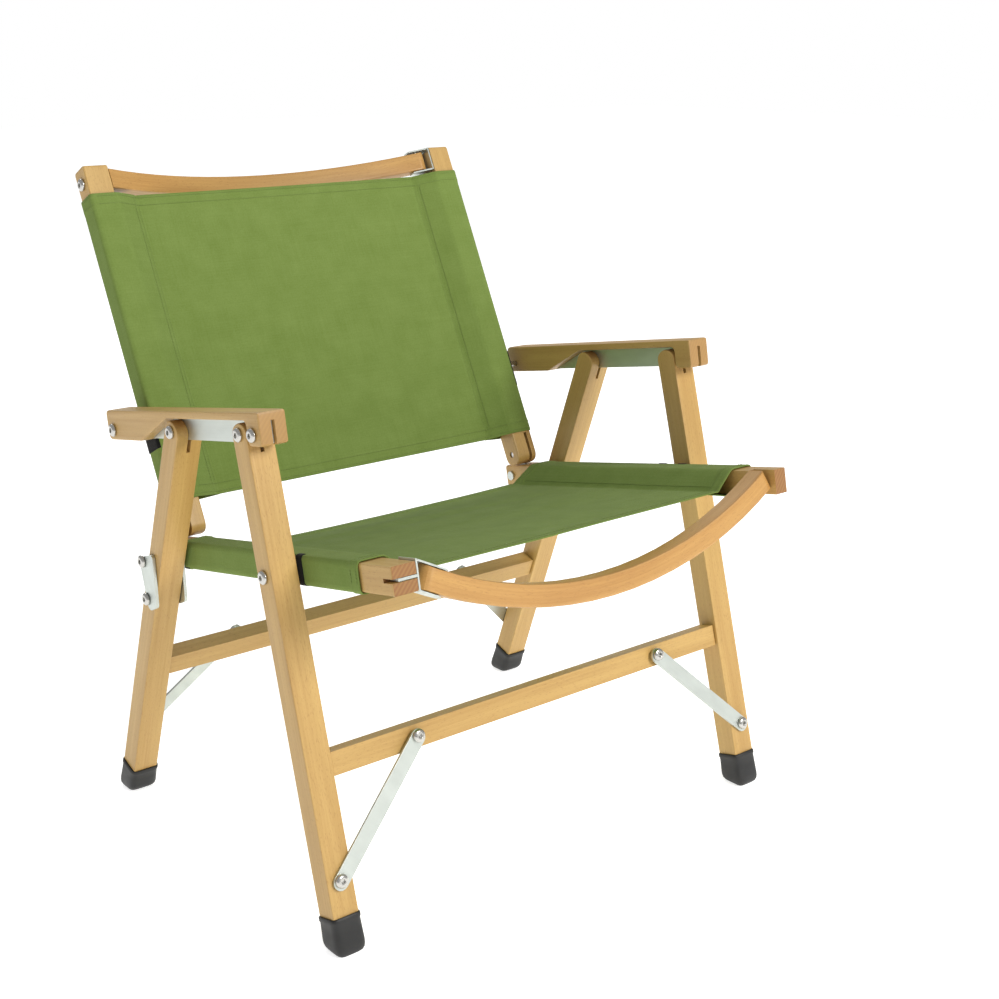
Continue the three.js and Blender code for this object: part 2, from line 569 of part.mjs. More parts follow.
// a closed sleeve round each of two bars, joined by a sheet that sags between them
function clothOutline(inner, outer, half, hem, sag) {
  const out = outer + GAP + CLOTH;
  const low = half + GAP + CLOTH;
  const seam = inner - hem;
  const steps = 12;
  const sheet = (above, from, to) => Array.from({ length: steps + 1 }, (_, i) => {
    const x = from + (to - from) * i / steps;
    return point(x, above - sag * sagShare(x, inner, seam));
  });
  const outline = [
    point(-out, -low), point(-inner + GAP + CLOTH, -low), ...sheet(half + GAP, -seam, seam),
    point(inner - GAP - CLOTH, -low), point(out, -low), point(out, low),
    point(inner, low), ...sheet(low, seam, -seam), point(-inner, low), point(-out, low),
  ];
  const hole = (side) => [
    point(side * (outer + GAP), -half - GAP), point(side * (outer + GAP), half + GAP),
    point(side * inner, half + GAP), point(side * (inner - GAP), -half - GAP),
  ];
  return { outline, holes: [hole(-1), hole(1)] };
}

function buildCanvas(name, frame, inner, outer, from, to, hem, sag, cuts = []) {
  const { outline, holes } = clothOutline(inner, outer, WOOD_DEPTH / 2, hem, sag);
  const start = frame.at(from, 0);
  let cloth = extrude(outline, to - from, 0, [X.clone().negate(), frame.above, frame.along],
    new THREE.Vector3(0, start.x, start.y), holes);
  cuts.forEach((cut) => { cloth = cloth.subtract(cut); });
  add(name, cloth, canvas);
}

// ---------------------------------------------------------------- the chair
const SIDES = [[-1, 'left'], [1, 'right']];
const frontHoles = buildStretcher(frontLeg, -1, 'front');
const rearHoles = buildStretcher(rearLeg, 1, 'rear');

SIDES.forEach(([side, label], i) => {
  buildArmrest(side, label);
  const frontTurn = -ARM_RATIO * FOLD_ANGLE;
  const rearTurn = REAR_LEG_RATIO * FOLD_ANGLE;
  const front = buildLeg(frontLeg, FRONT_ARM_PIVOT, frontTurn, [SEAT_PIVOT], side, `${label}_front`);
  const rear = buildLeg(rearLeg, REAR_ARM_PIVOT, rearTurn, [], side, `${label}_rear`);
  add(front.name, front.wood.subtract(frontHoles[i]), beech);
  add(rear.name, rear.wood.subtract(rearHoles[i]), beech);
  buildFoot(frontLeg, side, `${label}_front`);
  buildFoot(rearLeg, side, `${label}_rear`);
  buildRail(side, label);
  buildLink(side, label);
  buildTie(side, label);
  buildPost(side, label);
});

buildSeatBow();
buildBackBow();

const seatBoltRoom = SIDES.map(([side]) => crossHole(SEAT_PIVOT, BOLT_R + 2, RAIL_IN - 10, RAIL_OUT + 5, side));
buildCanvas('seat_fabric', rail, RAIL_IN, RAIL_OUT, SEAT_CLOTH_FRONT, SEAT_CLOTH_REAR, SEAT_HEM, SEAT_SAG,
  seatBoltRoom);
buildCanvas('back_fabric', post, POST_IN, POST_OUT, BACK_CLOTH_BOTTOM, BACK_CLOTH_TOP, BACK_HEM, BACK_SAG);

chair.position.y = -MID_Y;
export default chair;
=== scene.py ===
"""A low folding camp chair: the looks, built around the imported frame.

Metres, +Z up, and the sitter faces -Y.
"""
import json
import math

import bpy
import numpy as np
from mathutils import Matrix, Vector, noise


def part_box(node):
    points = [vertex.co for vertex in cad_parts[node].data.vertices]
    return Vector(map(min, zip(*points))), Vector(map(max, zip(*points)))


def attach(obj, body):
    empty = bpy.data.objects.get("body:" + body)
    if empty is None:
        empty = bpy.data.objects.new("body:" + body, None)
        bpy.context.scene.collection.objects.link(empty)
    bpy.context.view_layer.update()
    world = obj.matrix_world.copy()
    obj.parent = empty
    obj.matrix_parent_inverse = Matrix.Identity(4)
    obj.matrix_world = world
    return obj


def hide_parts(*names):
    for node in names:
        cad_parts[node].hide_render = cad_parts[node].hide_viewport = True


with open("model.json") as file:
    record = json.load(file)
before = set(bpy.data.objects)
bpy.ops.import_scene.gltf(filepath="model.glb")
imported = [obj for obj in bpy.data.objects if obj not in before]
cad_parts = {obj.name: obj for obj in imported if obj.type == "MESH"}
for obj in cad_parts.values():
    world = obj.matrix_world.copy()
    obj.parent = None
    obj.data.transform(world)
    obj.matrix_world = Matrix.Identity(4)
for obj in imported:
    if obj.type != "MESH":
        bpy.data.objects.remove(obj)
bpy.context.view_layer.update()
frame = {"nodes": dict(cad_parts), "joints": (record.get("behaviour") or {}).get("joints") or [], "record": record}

MM = 0.001
X = Vector((1, 0, 0))
SIDES = ("left", "right")

# ---------------------------------------------------------------- where things are, from the frame
joints = {j["name"]: j for j in frame["joints"]}
mounts = {m["name"]: Vector(m["pos_m"]) for m in frame["record"]["mounts"]}


def middle(joint):
    """A joint's pivot, moved to the chair's middle plane."""
    x, y, z = joints[joint]["pos_m"]
    return Vector((0, y, z))


def sole(name):
    return Vector((0, *mounts[name].yz))


SEAT_AT = middle("frame_fold")
RAIL_TIE_AT = middle("left_tie_pivot")
POST_AT = middle("back_fold")
FRONT_ARM_AT = middle("left_arm_pivot")
REAR_ARM_AT = middle("rear_leg_pivot")
RAIL_DIR = (RAIL_TIE_AT - SEAT_AT).normalized()
RAIL_UP = X.cross(RAIL_DIR)
POST_DIR = Vector(joints["back_bow_swing"]["axis"]).normalized()
POST_FRONT = X.cross(POST_DIR)
ARM_DIR = (REAR_ARM_AT - FRONT_ARM_AT).normalized()
FRONT_LEG_DIR = (FRONT_ARM_AT - sole("left_front_foot_sole")).normalized()
REAR_LEG_DIR = (REAR_ARM_AT - sole("left_rear_foot_sole")).normalized()


# ---------------------------------------------------------------- camera, light and floor
CAMERA_AT = (-0.87325, -1.20845, 0.74998)
CAMERA_YAW = math.radians(39.071)  # from +Y towards +X
CAMERA_PITCH = math.radians(16.719)  # downwards
CAMERA_LENS = 55.34


def add_camera():
    data = bpy.data.cameras.new("camera")
    data.lens = CAMERA_LENS
    data.sensor_width = 36
    camera = bpy.data.objects.new("camera", data)
    camera.location = CAMERA_AT
    camera.rotation_euler = (math.pi / 2 - CAMERA_PITCH, 0, -CAMERA_YAW)
    bpy.context.scene.collection.objects.link(camera)
    bpy.context.scene.camera = camera


def add_light(name, at, aim, size, power, tint=(1, 1, 1)):
    data = bpy.data.lights.new(name, "AREA")
    data.shape = "DISK"
    data.size = size
    data.energy = power
    data.color = tint
    light = bpy.data.objects.new(name, data)
    light.location = at
    light.rotation_euler = (Vector(aim) - Vector(at)).to_track_quat("-Z", "Y").to_euler()
    bpy.context.scene.collection.objects.link(light)


def add_world(strength):
    """A white studio: the camera sees pure white, and the chair is lit by a dimmer one."""
    world = bpy.data.worlds.new("studio")
    world.use_nodes = True
    tree = world.node_tree
    background = tree.nodes["Background"]
    background.inputs["Color"].default_value = (1, 1, 1, 1)
    seen = tree.nodes.new("ShaderNodeMapRange")
    seen.inputs["To Min"].default_value = strength
    camera_ray = tree.nodes.new("ShaderNodeLightPath").outputs["Is Camera Ray"]
    tree.links.new(camera_ray, seen.inputs["Value"])
    tree.links.new(seen.outputs["Result"], background.inputs["Strength"])
    bpy.context.scene.world = world


# ---------------------------------------------------------------- material helpers
class Nodes:
    """A new material's node tree, with short calls to add and link nodes."""

    def __init__(self, name):
        self.material = bpy.data.materials.new(name)
        self.material.use_nodes = True
        self.tree = self.material.node_tree
        self.shader = self.tree.nodes["Principled BSDF"]

    def set(self, **values):
        for key, value in values.items():
            self.shader.inputs[key.replace("_", " ")].default_value = value

    def link(self, source, target):
        self.tree.links.new(source, target)

    def put(self, value, socket):
        if isinstance(value, bpy.types.NodeSocket):
            self.link(value, socket)
        else:
            socket.default_value = value

    def node(self, kind, **inputs):
        made = self.tree.nodes.new(kind)
        for key, value in inputs.items():
            self.put(value, made.inputs[key.replace("_", " ")])
        return made

    def math(self, operation, a, b=0.0):
        made = self.tree.nodes.new("ShaderNodeMath")
        made.operation = operation
        for socket, value in zip(made.inputs, (a, b)):
            self.put(value, socket)
        return made.outputs[0]

    def dot(self, a, b):
        made = self.tree.nodes.new("ShaderNodeVectorMath")
        made.operation = "DOT_PRODUCT"
        self.put(a, made.inputs[0])
        self.put(b, made.inputs[1])
        return made.outputs["Value"]

    def vector(self, x, y, z):
        return self.node("ShaderNodeCombineXYZ", X=x, Y=y, Z=z).outputs[0]

    def scaled(self, vector, scale):
        made = self.tree.nodes.new("ShaderNodeVectorMath")
        made.operation = "MULTIPLY"
        self.put(vector, made.inputs[0])
        made.inputs[1].default_value = scale
        return made.outputs[0]

    def noise(self, vector, scale=1.0, detail=3.0, roughness=0.5, distortion=0.0):
        made = self.node("ShaderNodeTexNoise", Vector=vector, Scale=scale, Detail=detail,
                         Roughness=roughness, Distortion=distortion)
        return made.outputs["Fac"]

    def ramp(self, value, low, high, low_to=0.0, high_to=1.0):
        made = self.tree.nodes.new("ShaderNodeMapRange")
        self.put(value, made.inputs["Value"])
        limits = {"From Min": low, "From Max": high, "To Min": low_to, "To Max": high_to}
        for key, number in limits.items():
            made.inputs[key].default_value = number
        return made.outputs["Result"]

    def mix(self, factor, a, b):
        made = self.tree.nodes.new("ShaderNodeMix")
        made.data_type = "RGBA"
        self.put(factor, made.inputs["Factor"])
        for socket, value in ((made.inputs[6], a), (made.inputs[7], b)):
            self.put((*value, 1) if isinstance(value, tuple) else value, socket)
        return made.outputs[2]

    def bump(self, height, distance, strength=1.0):
        made = self.node("ShaderNodeBump", Height=height, Distance=distance, Strength=strength)
        self.link(made.outputs["Normal"], self.shader.inputs["Normal"])

    @property
    def object_point(self):
        return self.node("ShaderNodeTexCoord").outputs["Object"]

    @property
    def object_normal(self):
        return self.node("ShaderNodeTexCoord").outputs["Normal"]


# ---------------------------------------------------------------- materials
BEECH = {"light": (0.57, 0.365, 0.118), "dark": (0.465, 0.277, 0.08), "fleck": (0.3, 0.143, 0.036)}
BENT = {"light": (0.55, 0.31, 0.088), "dark": (0.43, 0.217, 0.054), "fleck": (0.28, 0.12, 0.028)}
END_GRAIN = (0.36, 0.2, 0.064)
RAIL_END_GRAIN = (0.25, 0.105, 0.028)

RING_TURN = 2 * math.pi / 0.0034  # one growth ring every 3.4 mm
PITH_OFF = (0.03, 0.05)  # how far the pith lies from the wood coordinates' origin
FLECK_FROM, FLECK_FULL = 0.6, 0.72  # the part of the fleck noise that shows


def grain_of_bar(n, along, seed):
    """Wood coordinates of a straight bar: along the grain, and two ways across it."""
    point = n.object_point
    third = along.cross(X) if abs(along.dot(X)) < 0.5 else along.cross(Vector((0, 0, 1)))
    third.normalize()
    second = third.cross(along)
    return n.vector(n.dot(point, tuple(along)), n.math("ADD", n.dot(point, tuple(second)), seed),
                    n.math("ADD", n.dot(point, tuple(third)), seed))


def grain_of_bow(n, centre, outward, axis, radius):
    """Wood coordinates of a bent bar: round its arc, through its thickness, and across its width."""
    offset = n.tree.nodes.new("ShaderNodeVectorMath")
    offset.operation = "SUBTRACT"
    n.link(n.object_point, offset.inputs[0])
    offset.inputs[1].default_value = tuple(centre)
    x, y = n.dot(offset.outputs[0], tuple(X)), n.dot(offset.outputs[0], tuple(outward))
    turn = n.math("MULTIPLY", n.math("ARCTAN2", x, y), radius)
    reach = n.math("SQRT", n.math("ADD", n.math("MULTIPLY", x, x), n.math("MULTIPLY", y, y)))
    return n.vector(turn, reach, n.dot(offset.outputs[0], tuple(axis)))


def growth_rings(n, place):
    """Rings on a bar's end, from 0 to 1, about a pith that lies outside the bar."""
    split = n.node("ShaderNodeSeparateXYZ", Vector=place)
    wide = n.math("ADD", split.outputs["Y"], PITH_OFF[0])
    deep = n.math("ADD", split.outputs["Z"], PITH_OFF[1])
    squared = n.math("ADD", n.math("MULTIPLY", wide, wide), n.math("MULTIPLY", deep, deep))
    wave = n.math("SINE", n.math("MULTIPLY", n.math("SQRT", squared), RING_TURN))
    return n.math("ADD", n.math("MULTIPLY", wave, 0.5), 0.5)


def wood(name, grain, colours, end_direction=None, end_colour=END_GRAIN):
    """Oiled beech: growth bands, short ray flecks along the grain, and darker ends."""
    n = Nodes(name)
    place = grain(n)
    broad = n.noise(n.scaled(place, (5, 60, 60)), detail=2)
    bands = n.noise(n.scaled(place, (7, 420, 420)), detail=4, roughness=0.6, distortion=0.35)
    flecks = n.noise(n.scaled(place, (260, 1500, 1500)), detail=1)
    fibres = n.noise(n.scaled(place, (60, 3200, 3200)), detail=2)
    tone = n.math("ADD", n.math("MULTIPLY", broad, 0.6), n.math("MULTIPLY", bands, 0.4))
    colour = n.mix(n.ramp(tone, 0.36, 0.64), colours["light"], colours["dark"])
    fleck = n.ramp(flecks, FLECK_FROM, FLECK_FULL)
    colour = n.mix(n.math("MULTIPLY", fleck, 0.42), colour, colours["fleck"])
    colour = n.mix(n.math("MULTIPLY", n.ramp(fibres, 0.4, 0.7), 0.1), colour, colours["fleck"])
    if end_direction is not None:
        facing = n.math("ABSOLUTE", n.dot(n.object_normal, tuple(end_direction)))
        rings = growth_rings(n, place)
        paler = tuple(0.72 * a + 0.28 * b for a, b in zip(end_colour, colours["dark"]))
        end = n.mix(rings, end_colour, paler)
        colour = n.mix(n.ramp(facing, 0.75, 0.95), colour, end)
    n.link(colour, n.shader.inputs["Base Color"])
    n.link(n.ramp(bands, 0.3, 0.7, 0.4, 0.52), n.shader.inputs["Roughness"])
    n.set(Coat_Weight=0.08, Coat_Roughness=0.3)
    height = n.math("SUBTRACT", n.math("MULTIPLY", fibres, 0.4), n.math("MULTIPLY", fleck, 0.6))
    n.bump(height, 0.00006, 0.6)
    return n.material


def bar(name, along, seed, end_colour=END_GRAIN):
    return wood(name, lambda n: grain_of_bar(n, along, seed), BEECH, along, end_colour)


CANVAS_GREEN = (0.222, 0.308, 0.082)
CANVAS_DEEP = (0.165, 0.24, 0.052)
BINDING_BLACK = (0.012, 0.012, 0.012)
BINDING_DEEP = (0.006, 0.006, 0.006)
THREAD_GREEN = (0.25, 0.33, 0.1)
THREAD_DEEP = (0.18, 0.25, 0.065)
YARN = 0.8 * MM


def cloth(name, light, deep, yarn, relief=0.00012, sheen=0.05):
    """Plain weave of warp and weft yarns, in slightly uneven shades, with painted shade in the gaps between the
    yarns. UVs are in metres.
    """
    n = Nodes(name)
    uv = n.node("ShaderNodeTexCoord").outputs["UV"]
    split = n.node("ShaderNodeSeparateXYZ", Vector=uv)
    u, v = split.outputs["X"], split.outputs["Y"]
    turn = math.pi / yarn
    warp = n.math("SINE", n.math("MULTIPLY", u, turn))
    weft = n.math("SINE", n.math("MULTIPLY", v, turn))
    over = n.math("MULTIPLY", warp, weft)
    weave = n.math("ABSOLUTE", over)
    across, along = 1 / (1.5 * yarn), 9  # a yarn's shade changes fast across it and slowly along it
    warp_at = n.vector(n.math("MULTIPLY", u, across), n.math("MULTIPLY", v, along), 0.0)
    weft_at = n.vector(n.math("MULTIPLY", u, along), n.math("MULTIPLY", v, across), 3.0)
    warp_shade = n.noise(warp_at, detail=1)
    weft_shade = n.noise(weft_at, detail=1)
    mottle = n.noise(n.vector(u, v, 0.0), scale=34, detail=4, roughness=0.6)
    fine = n.noise(n.vector(u, v, 0.0), scale=520, detail=2)
    tone = n.math("ADD", n.math("MULTIPLY", warp_shade, 0.16), n.math("MULTIPLY", weft_shade, 0.16))
    for part, share in ((mottle, 0.38), (fine, 0.3)):
        tone = n.math("ADD", tone, n.math("MULTIPLY", part, share))
    colour = n.mix(n.ramp(tone, 0.36, 0.66), deep, light)
    # Painted shade: the gaps between the yarns are darkened towards 0.6 of the deep colour.
    painted_shade_between_yarns = n.math("MULTIPLY", n.ramp(weave, 0.0, 0.45, 1.0, 0.0), 0.35)
    colour = n.mix(painted_shade_between_yarns, colour, tuple(0.6 * c for c in deep))
    n.link(colour, n.shader.inputs["Base Color"])
    n.set(Roughness=0.88, Sheen_Weight=sheen, Sheen_Roughness=0.5, Specular_IOR_Level=0.1)
    n.bump(n.math("ADD", weave, n.math("MULTIPLY", fine, 0.8)), relief)
    return n.material


def brushed(name, colour, roughness, direction, scratch=0.00002):
    """Satin metal with fine scratches along one direction."""
    n = Nodes(name)
    place = grain_of_bar(n, direction, 0.0)
    lines = n.noise(n.scaled(place, (40, 5000, 5000)), detail=2)
    cloud = n.noise(n.scaled(place, (25, 60, 60)), detail=2)
    n.set(Metallic=1.0)
    darker = tuple(0.88 * c for c in colour)
    n.link(n.mix(n.ramp(cloud, 0.3, 0.7), colour, darker), n.shader.inputs["Base Color"])
    n.link(n.ramp(lines, 0.3, 0.7, roughness - 0.06, roughness + 0.08), n.shader.inputs["Roughness"])
    n.bump(lines, scratch, 0.5)
    return n.material


RUBBER_BLACK = (0.008, 0.008, 0.008)
RUBBER_DUSTY = (0.022, 0.021, 0.02)


def moulded_rubber(name):
    n = Nodes(name)
    point = n.object_point
    grain = n.noise(point, scale=1400, detail=2)
    dust = n.noise(point, scale=60, detail=4)
    colour = n.mix(n.ramp(dust, 0.45, 0.8), RUBBER_BLACK, RUBBER_DUSTY)
    n.link(colour, n.shader.inputs["Base Color"])
    n.link(n.ramp(dust, 0.3, 0.7, 0.42, 0.62), n.shader.inputs["Roughness"])
    n.bump(grain, 0.00008, 0.5)
    return n.material


ALUMINIUM = (0.6, 0.64, 0.6)
STEEL = (0.56, 0.55, 0.52)


def finish_frame():
    """Materials and edge shading for the CAD nodes that stay."""
    directions = {
        "front_leg": FRONT_LEG_DIR, "rear_leg": REAR_LEG_DIR, "armrest": ARM_DIR,
        "seat_rail": RAIL_DIR, "back_post": POST_DIR,
    }
    for i, (part, direction) in enumerate(directions.items()):
        for j, side in enumerate(SIDES):
            end_colour = RAIL_END_GRAIN if part == "seat_rail" else END_GRAIN
            seed = 0.31 * (2 * i + j) + 0.1
            material = bar(f"beech_{side}_{part}", direction, seed, end_colour=end_colour)
            paint(f"{side}_{part}", material)
    for i, name in enumerate(("front_stretcher", "rear_stretcher")):
        paint(name, bar(f"beech_{name}", X, 3.7 + i))
    paint("seat_bow", bow_wood("seat_bow", SEAT_AT, RAIL_DIR, -RAIL_UP))
    paint("back_bow", bow_wood("back_bow", POST_AT, POST_DIR, -POST_FRONT))
    plates = {
        "armrest_plate": ARM_DIR, "hinge_link": POST_DIR,
        "tie_plate_outer": POST_DIR, "tie_plate_inner": POST_DIR,
        "front_strut": (X - FRONT_LEG_DIR).normalized(), "rear_strut": (X - REAR_LEG_DIR).normalized(),
    }
    for part, direction in plates.items():
        metal = brushed(f"aluminium_{part}", ALUMINIUM, 0.42, direction)
        for side in SIDES:
            paint(f"{side}_{part}", metal, rounding=0.3 * MM)
    metal = brushed("aluminium_brackets", ALUMINIUM, 0.38, RAIL_UP)
    paint("seat_bow_bracket", metal, rounding=0.25 * MM)
    paint("back_bow_bracket", metal, rounding=0.25 * MM)


def bow_wood(node, origin, axis, outward):
    """Bent wood for a bow, from the circle through its ends and its middle."""
    co = np.array([v.co for v in frame["nodes"][node].data.vertices])
    height = (co - np.array(origin)) @ np.array(outward)
    half = np.abs(co[:, 0]).max()
    at_ends = np.abs(co[:, 0]) > half - 20 * MM
    depth = height.max() - height[at_ends].mean()
    radius = (half ** 2 + depth ** 2) / (2 * depth)
    centre = origin + outward * (height.max() - radius)
    return wood(f"bent_{node}", lambda n: grain_of_bow(n, centre, outward, axis, radius), BENT, X)


def paint(node, material, rounding=0.0):
    piece = frame["nodes"][node]
    piece.data.materials.clear()
    piece.data.materials.append(material)
    shade(piece, rounding)


def split_edges(piece, degrees):
    cut = piece.modifiers.new("cut", "EDGE_SPLIT")
    cut.split_angle = math.radians(degrees)


SHARP_FROM = 40  # degrees between two faces


def shade(piece, rounding):
    """Smooth shading over shallow edges, crisp or slightly rounded edges elsewhere."""
    for face in piece.data.polygons:
        face.use_smooth = True
    weld = piece.modifiers.new("weld", "WELD")
    weld.merge_threshold = 0.01 * MM
    if rounding:
        edge = piece.modifiers.new("edge", "BEVEL")
        edge.width = rounding
        edge.segments = 2
        edge.limit_method = "ANGLE"
        edge.angle_limit = math.radians(SHARP_FROM)
    split_edges(piece, SHARP_FROM)
    normals = piece.modifiers.new("normals", "WEIGHTED_NORMAL")
    normals.keep_sharp = True


# ---------------------------------------------------------------- mesh helpers
def add_mesh(name, points, faces, material, body, uvs=None):
    data = bpy.data.meshes.new(name)
    data.from_pydata([tuple(p) for p in points], [], faces)
    data.materials.append(material)
    if uvs is not None:
        layer = data.uv_layers.new(name="UVMap")
        for loop in data.loops:
            layer.data[loop.index].uv = uvs[loop.vertex_index]
    for face in data.polygons:
        face.use_smooth = True
    piece = bpy.data.objects.new(name, data)
    bpy.context.scene.collection.objects.link(piece)
    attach(piece, body)
    return piece


def lathe(profile, sides):
    """Points and faces of a (radius, height) profile turned about +Z, closed at both ends."""
    points, faces = [(0, 0, profile[0][1])], []
    for radius, height in profile[1:-1]:
        for i in range(sides):
            a = 2 * math.pi * i / sides
            points.append((radius * math.cos(a), radius * math.sin(a), height))
    points.append((0, 0, profile[-1][1]))
    rings = len(profile) - 2
    for i in range(sides):
        j = (i + 1) % sides
        faces.append((0, 1 + j, 1 + i))
        for k in range(rings - 1):
            a, b = 1 + k * sides, 1 + (k + 1) * sides
            faces.append((a + i, a + j, b + j, b + i))
        last = 1 + (rings - 1) * sides
        faces.append((last + i, last + j, len(points) - 1))
    return points, faces


def tube_faces(first, sides, rings):
    """Faces of a capped tube whose rings of points follow each other from one point's index."""
    faces = []
    for k in range(rings - 1):
        a, b = first + k * sides, first + (k + 1) * sides
        for i in range(sides):
            j = (i + 1) % sides
            faces.append((a + i, a + j, b + j, b + i))
    last = first + (rings - 1) * sides
    faces.append(tuple(reversed(range(first, first + sides))))
    faces.append(tuple(range(last, last + sides)))
    return faces


# ---------------------------------------------------------------- bolts
BOLT_SIDES = 48
HEAD_R = 6.2 * MM
HEAD_TALL = 3.4 * MM
SOCKET_R = 2.35 * MM
SOCKET_DEEP = 1.9 * MM
SHANK_R = 3.0 * MM


def bolt_profile(length):
    """A domed head with a socket, from the bottom of the socket out and round to the shank's end."""
    rim = SOCKET_R + 0.35 * MM
    side_tall = 0.9 * MM
    dome = []
    for i in range(9):
        a = math.radians(90 - 8 - 82 * i / 8)
        dome.append((rim + (HEAD_R - rim) * math.cos(a) ** 0.9,
                     side_tall + (HEAD_TALL - side_tall) * math.sin(a)))
    floor = HEAD_TALL - SOCKET_DEEP
    return [
        (0, floor - 0.3 * MM), (SOCKET_R, floor), (SOCKET_R, HEAD_TALL - 0.35 * MM),
        (SOCKET_R + 0.2 * MM, HEAD_TALL - 0.05 * MM), *dome,
        (HEAD_R, 0.35 * MM), (HEAD_R - 0.3 * MM, 0),
        (SHANK_R, 0), (SHANK_R, -length), (0, -length),
    ]


def hex_socket(points):
    """Presses the socket's round wall into a six sided one."""
    pressed = []
    for x, y, z in points:
        radius = math.hypot(x, y)
        if abs(radius - SOCKET_R) < 0.02 * MM:
            a = math.atan2(y, x) % (math.pi / 3) - math.pi / 6
            scale = math.cos(math.pi / 6) / math.cos(a)
            x, y = x * scale, y * scale
        pressed.append((x, y, z))
    return pressed


def add_bolt(node, axis, body, material):
    """A finer bolt in place of a CAD bolt, found from the CAD bolt's own extent along its axis."""
    co = np.array([v.co for v in frame["nodes"][node].data.vertices])
    along = co @ np.array(axis)
    centre = Vector((co.max(0) + co.min(0)) / 2)
    top, low = along.max(), along.min()
    face = centre + axis * (top - HEAD_TALL - centre.dot(axis))
    points, faces = lathe(bolt_profile(top - HEAD_TALL - low), BOLT_SIDES)
    points = hex_socket(points)
    turn = axis.to_track_quat("Z", "Y").to_matrix().to_4x4()
    turn = Matrix.Translation(face) @ turn @ Matrix.Rotation(0.7 * len(node), 4, "Z")
    points = [turn @ Vector(p) for p in points]
    piece = add_mesh(f"{node}_fine", points, faces, material, body)
    split_edges(piece, 35)
    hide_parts(node)


def add_bolts():
    material = brushed("steel_bolts", STEEL, 0.24, Vector((0, 0, 1)), 0.00001)
    bodies = frame["record"]["behaviour"]["bodies"]
    for node, body in [(node, body) for body, nodes in bodies.items() for node in nodes]:
        if "bolt" not in node:
            continue
        if "front_strut" in node:
            axis = X.cross(FRONT_LEG_DIR)
        elif "rear_strut" in node:
            axis = -X.cross(REAR_LEG_DIR)
        else:
            axis = -X if node.startswith("left") else X
        add_bolt(node, axis.normalized(), body, material)


# ---------------------------------------------------------------- rubber feet
FOOT_SIDES = 40
FOOT_TALL = 31 * MM
FOOT_HALF_DEEP = 14.2 * MM
FOOT_SQUARENESS = 0.4  # exponent of the superellipse: 1 is round and 0 is square
# rings from the sole up: share of the way up, how square to the leg, and how far drawn in, in mm
FOOT_RINGS = [
    (0.0, 0.0, 5.5), (0.015, 0.0, 3.6), (0.055, 0.05, 1.9), (0.12, 0.1, 0.7), (0.2, 0.2, 0.15),
    (0.3, 0.4, 0.0), (0.6, 0.7, 0.3), (0.84, 0.95, 0.5), (0.88, 1.0, -0.1), (0.97, 1.0, -0.1),
    (1.0, 1.0, 0.6), (1.0, 1.0, 1.7),
]


def swell(c):
    """Pushes a circle's coordinate out towards a rounded square's."""
    return math.copysign(abs(c) ** FOOT_SQUARENESS, c)


def add_foot(node, direction, at, body, material):
    """A soft edged cap: rounded square rings from the flat sole up to the rim."""
    low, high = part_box(node)
    half_x = (high.x - low.x) / 2
    centre_x = (high.x + low.x) / 2
    across = Vector((0, direction.z, -direction.y))
    flat = Vector((0, 1, 0)) / direction.z
    points = []
    for share, square, draw in FOOT_RINGS:
        middle_point = at + direction * (share * FOOT_TALL / direction.z)
        lean = flat.lerp(across, square)
        for i in range(FOOT_SIDES):
            a = 2 * math.pi * i / FOOT_SIDES
            px = swell(math.cos(a)) * (half_x - draw * MM)
            py = swell(math.sin(a)) * (FOOT_HALF_DEEP - draw * MM)
            points.append(Vector((centre_x + px, 0, 0)) + middle_point + lean * py)
    faces = tube_faces(0, FOOT_SIDES, len(FOOT_RINGS))
    piece = add_mesh(f"{node}_cap", points, faces, material, body)
    split_edges(piece, 50)
    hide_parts(node)


def add_feet():
    material = moulded_rubber("foot_rubber")
    for side in SIDES:
        for end, direction in (("front", FRONT_LEG_DIR), ("rear", REAR_LEG_DIR)):
            at = sole(f"left_{end}_foot_sole")
            add_foot(f"{side}_{end}_foot", direction, at, f"{end}_legs", material)


# ---------------------------------------------------------------- canvas slings
BAR_HALF = 12 * MM
CLOTH_T = 1.0 * MM
TAPE_T = 0.5 * MM
SLEEVE_GAP = 0.35 * MM  # between a bar and the cloth round it
CORNER = 2.6 * MM
CLOTH_GRID = 3 * MM
TAPE_GRID = 2 * MM
HEM_WIDE = 13 * MM
ON_CLOTH = 0.75 * MM  # tapes and threads lie this far above the cloth's middle
SEAM_STITCHES = (-1 * MM, 4 * MM)  # stitch rows from the seam, towards the bar
SEAT_FRONT, SEAT_REAR = -100 * MM, 210 * MM  # along the rails from the front legs' pivot
KNEE = 160 * MM  # behind this line the seat cloth follows its slanted rear cut
BACK_BOTTOM, BACK_TOP = 22.5 * MM, 335.7 * MM  # along the posts from the back's pivot


def rounded(corners, radius, step):
    """A path through corner points, with its corners rounded, as points about a step apart."""
    path = [corners[0]]
    for before, corner, after in zip(corners, corners[1:], corners[2:]):
        r = min(radius, 0.4 * (corner - before).length, 0.4 * (after - corner).length)
        start = corner + (before - corner).normalized() * r
        end = corner + (after - corner).normalized() * r
        for i in range(7):
            t = i / 6
            path.append(start * (1 - t) ** 2 + corner * 2 * t * (1 - t) + end * t ** 2)
    path.append(corners[-1])
    dense = []
    for a, b in zip(path, path[1:]):
        count = max(1, round((b - a).length / step))
        dense += [a.lerp(b, i / count) for i in range(count)]
    return dense + [path[-1]]


